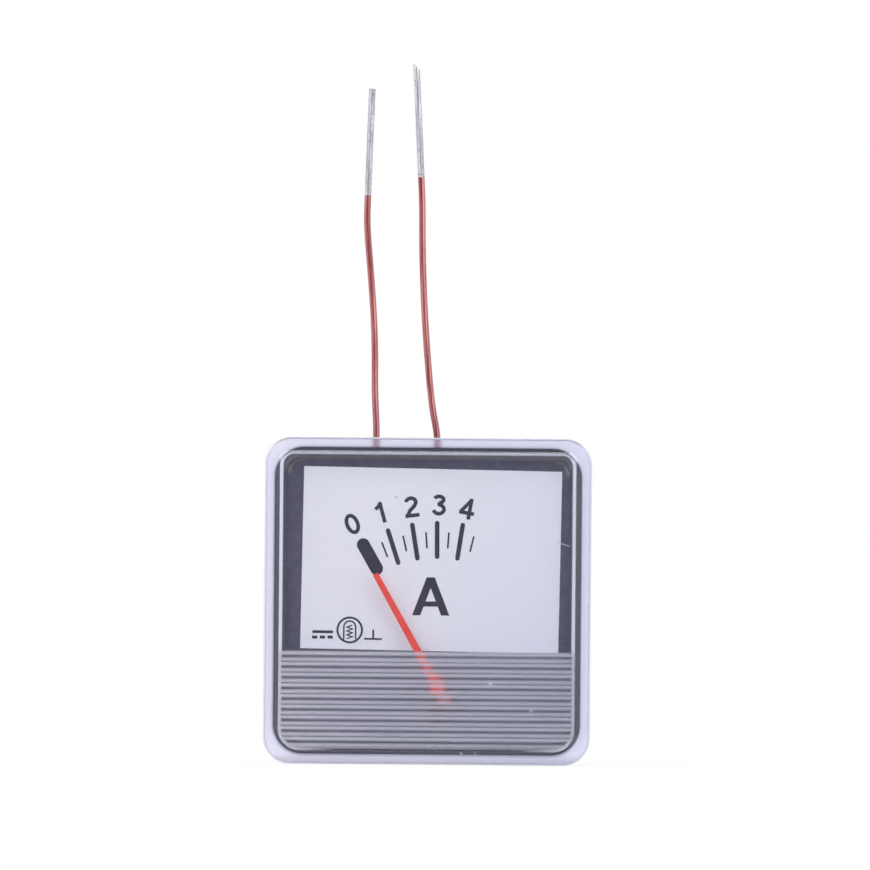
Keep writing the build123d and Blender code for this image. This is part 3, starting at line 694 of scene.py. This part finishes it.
def enamel_and_tin(name, tin_from, tip):
    """Enamelled copper wire whose end, from one height to another, is dipped in solder."""
    material, tree, shader = new_material(name)
    _, _, z = object_axes(tree)
    ragged = remap(tree, noise(tree, 1500, detail=3), *NOISE_BAND, -TIN_RAGGED, TIN_RAGGED)
    tinned = rising(tree, total(tree, z, ragged), tin_from - TIN_BLEND, tin_from + TIN_BLEND)
    drawn = rising(tree, noise(tree, 2400, detail=2, stretch=(1, 1, 0.03)), *DRAWN_BAND)
    enamel = two_colours(tree, drawn, *ENAMEL)
    pits = remap(tree, noise(tree, 2600, detail=2), *PIT_BAND, 0, PIT_LEVEL)
    streaks = rising(tree, noise(tree, 3000, detail=2, stretch=(1, 1, 0.06)), *STREAK_BAND)
    tin = mixed_colour(tree, pits, two_colours(tree, streaks, *TIN), two_colours(tree, streaks, *TIN_PITS))
    tin = painted(tree, remap(tree, z, tip + TIP_START[0], tip + TIP_START[1], 0, TIP_LEVEL), tin, TIN_TIP)

    # Painted reflection of the dim room as a dark line along the front and back, and painted shade on the
    # flanks
    geometry = tree.nodes.new("ShaderNodeNewGeometry")
    turned = tree.nodes.new("ShaderNodeSeparateXYZ")
    tree.links.new(geometry.outputs["Normal"], turned.inputs[0])
    sideways = unsigned(tree, turned.outputs[0])
    lines = largest(
        tree,
        remap(tree, sideways, *FRONT_PAINTED_REFLECTION, PAINTED_LINE_LEVEL, 0),
        remap(tree, sideways, *FLANK_PAINTED_SHADE, 0, PAINTED_LINE_LEVEL),
    )
    # Painted shade laid on both the enamel and the tin
    enamel = painted(tree, lines, enamel, ENAMEL_PAINTED_SHADE)
    tin = painted(tree, lines, tin, TIN_PAINTED_SHADE)
    roughness = total(
        tree,
        remap(tree, noise(tree, 1800), *NOISE_BAND, *ENAMEL_ROUGHNESS),
        remap(tree, tinned, 0, 1, 0, TIN_ROUGHER),
    )
    tree.links.new(mixed_colour(tree, tinned, enamel, tin), shader.inputs["Base Color"])
    tree.links.new(remap(tree, tinned, 0, 1, *METALLIC), shader.inputs["Metallic"])
    tree.links.new(roughness, shader.inputs["Roughness"])
    tree.links.new(remap(tree, tinned, 0, 1, *COAT), shader.inputs["Coat Weight"])
    shader.inputs["Coat Roughness"].default_value = COAT_ROUGHNESS
    knobs = noise(tree, 1900, detail=2, stretch=(1, 1, 0.3))
    bump(tree, shader, product(tree, knobs, remap(tree, tinned, 0, 1, *KNOBS)), 1.0, KNOB_HEIGHT)
    return material


# Plain surfaces: darker and lighter colour, range of roughness, and what else differs from the usual
PLAIN_SURFACES = {
    "black_case": (
        (0.016, 0.016, 0.019),
        (0.028, 0.028, 0.032),
        (0.35, 0.5),
        {"grain": 2600, "grain_bump": 0.25},
    ),
    "black_carrier": ((0.082, 0.081, 0.125), (0.118, 0.116, 0.165), (0.5, 0.7), {"grain": 5000}),
    "print_ink": ((0.03, 0.03, 0.054), (0.042, 0.042, 0.07), (0.45, 0.6), {"grain": 4000}),
    "pointer_red": ((0.9, 0.068, 0.054), (0.97, 0.1, 0.08), (0.35, 0.5), {}),
    "brass": ((0.62, 0.43, 0.17), (0.75, 0.56, 0.26), (0.22, 0.38), {"metallic": 1.0, "grain": 2500}),
    "dull_brass": ((0.3, 0.13, 0.1), (0.4, 0.2, 0.15), (0.45, 0.65), {"metallic": 0.4}),
    "plated_brass": ((0.36, 0.22, 0.22), (0.45, 0.29, 0.29), (0.35, 0.5), {"metallic": 0.5}),
    "steel": ((0.46, 0.46, 0.48), (0.6, 0.6, 0.62), (0.25, 0.42), {"metallic": 1.0, "grain": 2500}),
    "ferrite": ((0.045, 0.045, 0.05), (0.075, 0.073, 0.072), (0.5, 0.75), {"metallic": 0.2, "grain": 1800}),
    "nylon": ((0.72, 0.69, 0.6), (0.8, 0.78, 0.71), (0.4, 0.55), {"grain": 1500}),
}
skins = {
    name: surface(name, dark, light, rough, **others)
    for name, (dark, light, rough, others) in PLAIN_SURFACES.items()
}

# A height that no wire reaches, for enamel that isn't tinned
ABOVE_ALL = 1.0

NODE_MATERIALS = {
    "front_cover": clear_plastic(),
    "rear_case": skins["black_case"],
    "dial_plate": skins["black_carrier"],
    "dial_label": label_film(),
    "scale_marks": skins["print_ink"],
    "pointer": skins["pointer_red"],
    "balance_weight": skins["plated_brass"],
    "spindle": skins["steel"],
    "vane_hub": skins["brass"],
    "iron_vane": skins["steel"],
    "front_bearing": skins["brass"],
    "rear_bearing": skins["brass"],
    "bearing_bridge": skins["dull_brass"],
    "bridge_screws": skins["steel"],
    "coil_bobbin": skins["nylon"],
    "coil_winding": enamel_and_tin("coil_enamel", ABOVE_ALL, ABOVE_ALL),
    "movement_screws": skins["steel"],
    "control_magnet": skins["ferrite"],
    "magnetic_screen": skins["steel"],
}
for name, material in NODE_MATERIALS.items():
    nodes_by_name[name].data.materials.clear()
    nodes_by_name[name].data.materials.append(material)


# Camera: as far off as the photograph's long lens, turned by the photograph's slight lean
CAMERA_DISTANCE = 3.0
VIEW_CENTRE = Vector((0.9 * MM, 0, 24.4 * MM))
VIEW_WIDTH = 127.7 * MM
VIEW_LEAN = math.radians(0.5)
SENSOR_WIDTH = 36
NEAREST_SEEN = 0.05

camera_data = bpy.data.cameras.new("camera")
camera_data.sensor_width = SENSOR_WIDTH
camera_data.lens = SENSOR_WIDTH * CAMERA_DISTANCE / VIEW_WIDTH
camera_data.clip_start = NEAREST_SEEN
camera = bpy.data.objects.new("camera", camera_data)
bpy.context.collection.objects.link(camera)
upright = Matrix.Rotation(math.pi / 2, 4, "X")
lean = Matrix.Rotation(VIEW_LEAN, 4, "Z")
camera.matrix_world = Matrix.Translation(VIEW_CENTRE - Vector((0, CAMERA_DISTANCE, 0))) @ upright @ lean
bpy.context.scene.camera = camera


def add_object(name, mesh, material):
    """Piece from a mesh, with its material, riding on the housing."""
    piece = bpy.data.objects.new(name, mesh)
    bpy.context.collection.objects.link(piece)
    mesh.materials.append(material)
    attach(piece, "housing")
    return piece


# Leads, each one wire from the case wall to its tinned end

WIRE_RADIUS = 0.5 * MM
WIRE_SIDES = 20
ROUTE_STEPS = 24

# Last rings of a wire: how far back from its tip, its size, and its share of the slant
TIP_RINGS = ((0.1 * MM, 0.98, 1.0), (0.03 * MM, 0.93, 1.0), (0.0, 0.8, 1.0))
SLANT_START = 0.5 * MM
SLANT_CLEAR = 0.6 * MM

# Lumps of the solder: two waves along the wire, in radians per metre, and their height
LUMP_WAVES = (2900, 1300)
LUMP_HEIGHT = 0.03


def spline_points(name, points):
    """Points along the smooth route through the control points."""
    curve = bpy.data.curves.new(name, "CURVE")
    curve.dimensions = "3D"
    curve.resolution_u = ROUTE_STEPS
    spline = curve.splines.new("NURBS")
    spline.points.add(len(points) - 1)
    for point, place in zip(spline.points, points):
        point.co = (*[value * MM for value in place], 1)
    spline.order_u = 3
    spline.use_endpoint_u = True
    holder = bpy.data.objects.new(name, curve)
    mesh = bpy.data.meshes.new_from_object(holder)
    path = [vertex.co.copy() for vertex in mesh.vertices]
    bpy.data.objects.remove(holder)
    bpy.data.curves.remove(curve)
    bpy.data.meshes.remove(mesh)
    return path


def lumpy(z, turn):
    """Size of the tinned wire at a height and a turn round it, as a share of the plain wire's."""
    first, second = LUMP_WAVES
    lump = math.sin(z * first + 2 * turn) * math.sin(z * second + turn + 1)
    return (1 - LUMP_HEIGHT) + LUMP_HEIGHT * lump


def wire_tube(name, path, radius, tin_from, slant, material):
    """Round wire along a path, lumpy where it is tinned, its end cut on a slant that is low on the right."""
    tip = path[-1]
    heading = (path[-1] - path[-2]).normalized()
    stations = [(point, 1.0, 0.0) for point in path[:-1] if (tip - point).length > slant + SLANT_CLEAR]
    for back, size, cut in ((slant + SLANT_START, 1.0, 0.0), *TIP_RINGS):
        stations.append((tip - heading * back, size, cut))
    bm = bmesh.new()
    rings = []
    side = Vector((1, 0, 0))
    for index, (point, size, cut) in enumerate(stations):
        ahead = heading
        if index < len(stations) - 1:
            ahead = (stations[index + 1][0] - stations[max(index - 1, 0)][0]).normalized()
        side = (side - ahead * side.dot(ahead)).normalized()
        across = ahead.cross(side)
        ring = []
        for step in range(WIRE_SIDES):
            turn = 2 * math.pi * step / WIRE_SIDES
            here = radius * size
            if point.z > tin_from:
                here *= lumpy(point.z, turn)
            spot = point + (side * math.cos(turn) + across * math.sin(turn)) * here
            spot -= ahead * (cut * slant * (1 + math.cos(turn)) / 2)
            ring.append(bm.verts.new(spot))
        rings.append(ring)
    for low, high in zip(rings, rings[1:]):
        for step in range(WIRE_SIDES):
            after = (step + 1) % WIRE_SIDES
            bm.faces.new((low[step], low[after], high[after], high[step]))
    bm.faces.new(list(reversed(rings[0])))
    bm.faces.new(rings[-1])
    bmesh.ops.recalc_face_normals(bm, faces=bm.faces)
    mesh = bpy.data.meshes.new(name)
    bm.to_mesh(mesh)
    bm.free()
    for face in mesh.polygons:
        face.use_smooth = len(face.vertices) == 4
    return add_object(name, mesh, material)


# Control points of each lead, in mm
LEFT_ROUTE = [
    (-7.7, 7.0, 22.5),
    (-7.7, 7.0, 25.6),
    (-8.02, 7.1, 30.5),
    (-8.02, 7.4, 36.5),
    (-8.28, 7.6, 42.5),
    (-8.78, 7.4, 48.5),
    (-9.4, 6.8, 55.3),
    (-9.27, 6.7, 59.3),
    (-9.08, 6.55, 65.3),
    (-8.76, 6.3, 75.3),
]
RIGHT_ROUTE = [
    (1.3, 7.0, 22.5),
    (1.3, 7.0, 24.2),
    (0.48, 6.9, 28.2),
    (-0.1, 6.7, 33.5),
    (-0.6, 6.6, 39.5),
    (-0.95, 6.8, 45.5),
    (-1.2, 7.1, 51.8),
    (-1.24, 7.3, 58.4),
    (-1.45, 7.2, 62.35),
    (-1.78, 7.05, 69.0),
    (-2.303, 6.794, 78.95),
]
for name, route, tin_from, slant, nodes in (
    ("wire_left", LEFT_ROUTE, 59.6 * MM, 0.06 * MM, ("lead_left", "lead_tip_left")),
    ("wire_right", RIGHT_ROUTE, 62.6 * MM, 0.75 * MM, ("lead_right", "lead_tip_right")),
):
    path = spline_points(name, route)
    material = enamel_and_tin(name + "_skin", tin_from, path[-1].z)
    wire = wire_tube(name, path, WIRE_RADIUS, tin_from, slant, material)
    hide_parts(*nodes)


# Print on the label

LABEL_FRONT = 0.92 * MM
INK_THICKNESS = 0.03 * MM

# One pixel of the photograph, and the pixel on which the meter's middle lies
PIXEL = 0.1468 * MM
PHOTO_MIDDLE = (427.4, 601.3)

# Sharpest corner of a stroke that is mitred in full, as the cosine of half its turn
SHARPEST_MITRE = 0.35

# Strokes take turns at this many thicknesses of the ink, from the thinnest share of it upwards
INK_DEPTHS = 7
THINNEST_INK = 0.6
THICKER_INK = 0.4


def from_photo(x, y):
    """Place on the dial of a point measured on the photograph."""
    dx = (x - PHOTO_MIDDLE[0]) * PIXEL
    dz = (PHOTO_MIDDLE[1] - y) * PIXEL
    cos, sin = math.cos(VIEW_LEAN), math.sin(VIEW_LEAN)
    return Vector((dx * cos - dz * sin, dx * sin + dz * cos))


def ribbon(points, width, closed=False):
    """Outline of a stroke of even width along a line, mitred at its corners: left side and right side."""
    left, right = [], []
    count = len(points)
    for index, point in enumerate(points):
        before = points[index - 1] if closed or index > 0 else None
        after = points[(index + 1) % count] if closed or index < count - 1 else None
        run_in = (point - before).normalized() if before is not None else None
        run_out = (after - point).normalized() if after is not None else None
        if run_in is None:
            run_in = run_out
        if run_out is None:
            run_out = run_in
        normal_in = Vector((-run_in.y, run_in.x))
        normal_out = Vector((-run_out.y, run_out.x))
        bisector = (normal_in + normal_out).normalized()
        reach = width / 2 / max(SHARPEST_MITRE, bisector.dot(normal_in))
        left.append(point + bisector * reach)
        right.append(point - bisector * reach)
    return left, right


class Print:
    """Thin ink on the label, stroke by stroke."""

    def __init__(self):
        self.bm = bmesh.new()
        self.layers = 0

    def depths(self):
        """Back and front of the next stroke, which differs from the last so that crossings stay clean."""
        self.layers += 1
        thickness = INK_THICKNESS * (THINNEST_INK + THICKER_INK * (self.layers % INK_DEPTHS) / INK_DEPTHS)
        return LABEL_FRONT, LABEL_FRONT - thickness

    def stroke(self, points, width, closed=False):
        """Line of even width through the points."""
        left, right = ribbon(points, width, closed)
        back_y, front_y = self.depths()
        rows = []
        for a, b in zip(left, right):
            rows.append([self.bm.verts.new((p.x, y, p.y)) for p in (a, b) for y in (back_y, front_y)])
        pairs = list(zip(rows, rows[1:]))
        if closed:
            pairs.append((rows[-1], rows[0]))
        for low, high in pairs:
            for i, j in ((0, 1), (1, 3), (3, 2), (2, 0)):
                self.bm.faces.new((low[i], low[j], high[j], high[i]))
        if not closed:
            self.bm.faces.new([rows[0][i] for i in (0, 1, 3, 2)])
            self.bm.faces.new([rows[-1][i] for i in (2, 3, 1, 0)])

    def lines(self, strokes):
        """Straight strokes given by both ends and the width, in pixels of the photograph."""
        for start, end, width in strokes:
            self.stroke([from_photo(*start), from_photo(*end)], width * PIXEL)

    def outline(self, corners):
        """Filled patch within the corners."""
        back_y, front_y = self.depths()
        back = [self.bm.verts.new((p.x, back_y, p.y)) for p in corners]
        front = [self.bm.verts.new((p.x, front_y, p.y)) for p in corners]
        self.bm.faces.new(front)
        self.bm.faces.new(back[::-1])
        for index in range(len(corners)):
            after = (index + 1) % len(corners)
            self.bm.faces.new((front[index], front[after], back[after], back[index]))

    def finish(self, name, material):
        """All the strokes as one piece."""
        bmesh.ops.recalc_face_normals(self.bm, faces=self.bm.faces)
        mesh = bpy.data.meshes.new(name)
        self.bm.to_mesh(mesh)
        self.bm.free()
        add_object(name, mesh, material)


def arc(centre, radius_x, radius_y, start, end, steps):
    """Points of an ellipse's arc, angles clockwise from upright, in degrees."""
    points = []
    for step in range(steps + 1):
        turn = math.radians(start + (end - start) * step / steps)
        points.append(Vector((centre[0] + radius_x * math.sin(turn), centre[1] + radius_y * math.cos(turn))))
    return points


# Strokes of each numeral about its centre, for a cap height of 1
STROKE = 0.176
INSET = STROKE / 2
NUMERALS = {
    "0": [(arc((0, 0), 0.335 - INSET, 0.505 - INSET, 0, 345, 23), True)],
    "1": [
        ([Vector((0.04, 0.5)), Vector((0.04, -0.5))], False),
        ([Vector((0.06, 0.44)), Vector((-0.05, 0.32)), Vector((-0.24, 0.21))], False),
    ],
    "2": [
        (
            arc((0.0, 0.5 - INSET - 0.2), 0.235, 0.2, -80, 100, 12)
            + [Vector((0.14, 0.02)), Vector((-0.1, -0.18)), Vector((-0.24, -0.44))],
            False,
        ),
        ([Vector((-0.335, -0.5 + INSET)), Vector((0.335, -0.5 + INSET))], False),
    ],
    "3": [
        (arc((0.0, 0.26), 0.215, 0.5 - INSET - 0.26, -75, 178, 14), False),
        (arc((0.0, -0.2), 0.25, 0.5 - INSET - 0.2, 2, 258, 16), False),
        ([Vector((-0.07, 0.04)), Vector((0.1, 0.04))], False),
    ],
    "4": [
        ([Vector((0.13, 0.42)), Vector((-0.29, -0.2))], False),
        ([Vector((-0.35, -0.205)), Vector((0.36, -0.205))], False),
        ([Vector((0.135, 0.5)), Vector((0.135, -0.5))], False),
    ],
}
CAP_HEIGHT = 3.1 * MM

# Middle of each numeral on the photograph, and its turn to the right in degrees
NUMERAL_PLACES = {
    "0": (352.3, 524.1, -24.0),
    "1": (381.4, 512.6, -15.5),
    "2": (411.4, 507.0, -7.5),
    "3": (438.9, 505.2, 2.0),
    "4": (467.2, 508.8, 10.0),
}

# Straight strokes of the symbols on the photograph: both ends and the width, in pixels
DIRECT_CURRENT = (
    ((312.3, 631.7), (333.0, 632.1), 2.8),
    ((312.0, 637.1), (317.2, 637.3), 3.0),
    ((319.8, 637.1), (325.0, 637.3), 3.0),
    ((327.6, 637.1), (332.7, 637.3), 3.0),
)
UPRIGHT_USE = (
    ((373.2, 629.8), (373.2, 638.6), 1.8),
    ((364.0, 638.9), (381.8, 639.3), 1.8),
)

# Sign of the movement on the photograph, in pixels: a ring, an arch within it, a zigzag under the arch
RING_CENTRE = (349.7, 630.1)
RING_RADII = (12.3, 12.4)
RING_STROKE = 2.0
ARCH_TOP = (349.7, 627.0)
ARCH_RADIUS = 5.9
ARCH_LEGS = (343.7, 355.7)
ARCH_FOOT = 639.6
ARCH_STROKE = 1.5
ZIGZAG_SIDES = (352.3, 346.8)
ZIGZAG_TOP = 625.4
ZIGZAG_STEP = 1.9
ZIGZAG_POINTS = 8
ZIGZAG_STROKE = 1.25

print_work = Print()
for digit, (px, py, angle) in NUMERAL_PLACES.items():
    centre = from_photo(px, py)
    turn = Matrix.Rotation(-math.radians(angle), 2)
    for points, closed in NUMERALS[digit]:
        placed = [centre + turn @ point * CAP_HEIGHT for point in points]
        print_work.stroke(placed, STROKE * CAP_HEIGHT, closed)

# The unit's letter, its legs cut level at foot and top
for corners in (
    ((412.0, 615.4), (420.2, 615.5), (434.8, 577.6), (426.7, 577.5)),
    ((441.0, 615.7), (449.3, 615.8), (434.8, 577.6), (426.7, 577.5)),
    ((421.5, 606.7), (423.5, 601.6), (438.0, 601.7), (440.0, 606.8)),
):
    print_work.outline([from_photo(*corner) for corner in corners])

# Direct current, the kind of movement in its screen, and the upright position of use
print_work.lines(DIRECT_CURRENT)
ring = arc(from_photo(*RING_CENTRE), RING_RADII[0] * PIXEL, RING_RADII[1] * PIXEL, 0, 350, 35)
print_work.stroke(ring, RING_STROKE * PIXEL, True)
left_foot, right_foot = (from_photo(leg, ARCH_FOOT) for leg in ARCH_LEGS)
arch = arc(from_photo(*ARCH_TOP), ARCH_RADIUS * PIXEL, ARCH_RADIUS * PIXEL, -90, 90, 10)
print_work.stroke([left_foot, *arch, right_foot], ARCH_STROKE * PIXEL)
zigzag = [
    from_photo(ZIGZAG_SIDES[step % 2], ZIGZAG_TOP + step * ZIGZAG_STEP)
    for step in range(ZIGZAG_POINTS)
]
print_work.stroke(zigzag, ZIGZAG_STROKE * PIXEL)
print_work.lines(UPRIGHT_USE)
print_work.finish("dial_print", skins["print_ink"])


# Floor, world and lamps

WHITE_FLOOR = (0.93, 0.93, 0.93, 1)
FLOOR_ROUGHNESS = 0.9

# The floor's faint shadow: from where to where it fades, and how white the floor is within it
SHADOW_END = (0.1, 0.3)
SHADOW_WHITE = 0.88

# What the room looks like in gloss: its colour, how dim it is in front of the dial, and where that ends
ROOM_GLOSS = (0.8, 0.83, 1.0)
ROOM_DIM = 0.12
DIM_FLOOR = (-0.25, -0.08)
DIM_DIRECTION = (-0.97, -0.5)

# Strength of the room's own light
WORLD_LIGHT = 0.5


def mirrored_only(tree, path):
    """1 for a ray mirrored off a gloss, 0 for one that has come through glass."""
    return product(tree, path.outputs["Is Glossy Ray"], left_over(tree, path.outputs["Is Transmission Ray"]))


def paper_white(tree, socket):
    """Plain white to the camera, in gloss and through glass, with a faint shadow close around the object."""
    _, y, _ = object_axes(tree)
    away = tree.nodes.new("ShaderNodeVectorMath")
    away.operation = "LENGTH"
    tree.links.new(object_point(tree), away.inputs[0])
    kept = remap(tree, away.outputs["Value"], *SHADOW_END, SHADOW_WHITE, 1.0)
    path = tree.nodes.new("ShaderNodeLightPath")
    ways = ("Is Camera Ray", "Is Glossy Ray", "Is Transmission Ray")
    seen = largest(tree, *(path.outputs[way] for way in ways))
    dim_front = remap(tree, y, *DIM_FLOOR, ROOM_DIM, 1.0)
    strength = tree.nodes.new("ShaderNodeMix")
    tree.links.new(path.outputs["Is Glossy Ray"], strength.inputs["Factor"])
    strength.inputs["A"].default_value = 1.0
    tree.links.new(dim_front, strength.inputs["B"])
    white = tree.nodes.new("ShaderNodeEmission")
    tree.links.new(two_colours(tree, mirrored_only(tree, path), WHITE, ROOM_GLOSS), white.inputs["Color"])
    tree.links.new(strength.outputs["Result"], white.inputs["Strength"])
    mix = tree.nodes.new("ShaderNodeMixShader")
    tree.links.new(product(tree, seen, kept), mix.inputs["Fac"])
    tree.links.new(socket, mix.inputs[1])
    tree.links.new(white.outputs[0], mix.inputs[2])
    return mix.outputs[0]


FLOOR_Z = -24.02 * MM
FLOOR_SIZE = 6.0
floor_mesh = bpy.data.meshes.new("floor")
half = FLOOR_SIZE / 2
floor_mesh.from_pydata(
    [(-half, -half, FLOOR_Z), (half, -half, FLOOR_Z), (half, half, FLOOR_Z), (-half, half, FLOOR_Z)],
    [],
    [(0, 1, 2, 3)],
)
floor = bpy.data.objects.new("floor", floor_mesh)
bpy.context.collection.objects.link(floor)
floor_material, floor_tree, floor_shader = new_material("floor")
floor_shader.inputs["Base Color"].default_value = WHITE_FLOOR
floor_shader.inputs["Roughness"].default_value = FLOOR_ROUGHNESS
floor_surface = paper_white(floor_tree, floor_shader.outputs[0])
floor_tree.links.new(floor_surface, floor_tree.nodes["Material Output"].inputs["Surface"])
floor_mesh.materials.append(floor_material)

world = bpy.data.worlds.new("world")
bpy.context.scene.world = world
world.use_nodes = True
world_tree = world.node_tree
backdrop = world_tree.nodes["Background"]
world_path = world_tree.nodes.new("ShaderNodeLightPath")
room = two_colours(world_tree, mirrored_only(world_tree, world_path), WHITE, ROOM_GLOSS)
world_tree.links.new(room, backdrop.inputs["Color"])
seen_ways = (world_path.outputs["Is Camera Ray"], world_path.outputs["Is Transmission Ray"])
world_seen = largest(world_tree, *seen_ways)
world_level = remap(world_tree, world_seen, 0, 1, WORLD_LIGHT, 1.0)

# In gloss the room is bright all round and dim in front of the dial
towards = world_tree.nodes.new("ShaderNodeSeparateXYZ")
world_tree.links.new(world_tree.nodes.new("ShaderNodeTexCoord").outputs["Generated"], towards.inputs[0])
mirrored = remap(world_tree, towards.outputs[1], *DIM_DIRECTION, ROOM_DIM, 1.0)
gloss_mix = world_tree.nodes.new("ShaderNodeMix")
world_tree.links.new(world_path.outputs["Is Glossy Ray"], gloss_mix.inputs["Factor"])
world_tree.links.new(world_level, gloss_mix.inputs["A"])
world_tree.links.new(mirrored, gloss_mix.inputs["B"])
world_tree.links.new(gloss_mix.outputs["Result"], backdrop.inputs["Strength"])


LAMP_SIZE = 0.6
LAMP_TARGET = Vector((0, 0, 0.01))


def soft_lamp(name, place, power):
    """Square lamp that faces the middle of the dial."""
    lamp = bpy.data.lights.new(name, "AREA")
    lamp.shape = "SQUARE"
    lamp.size = LAMP_SIZE
    lamp.energy = power
    holder = bpy.data.objects.new(name, lamp)
    bpy.context.collection.objects.link(holder)
    holder.location = place
    holder.rotation_euler = (LAMP_TARGET - Vector(place)).to_track_quat("-Z", "Y").to_euler()


soft_lamp("key", (-0.45, -0.75, 0.65), 4.0)
soft_lamp("fill", (0.6, -0.8, 0.3), 1.6)
soft_lamp("top", (0.0, -0.1, 1.1), 4.0)
soft_lamp("back", (0.1, 0.8, 0.5), 2.0)

bpy.context.scene.view_settings.view_transform = "Standard"
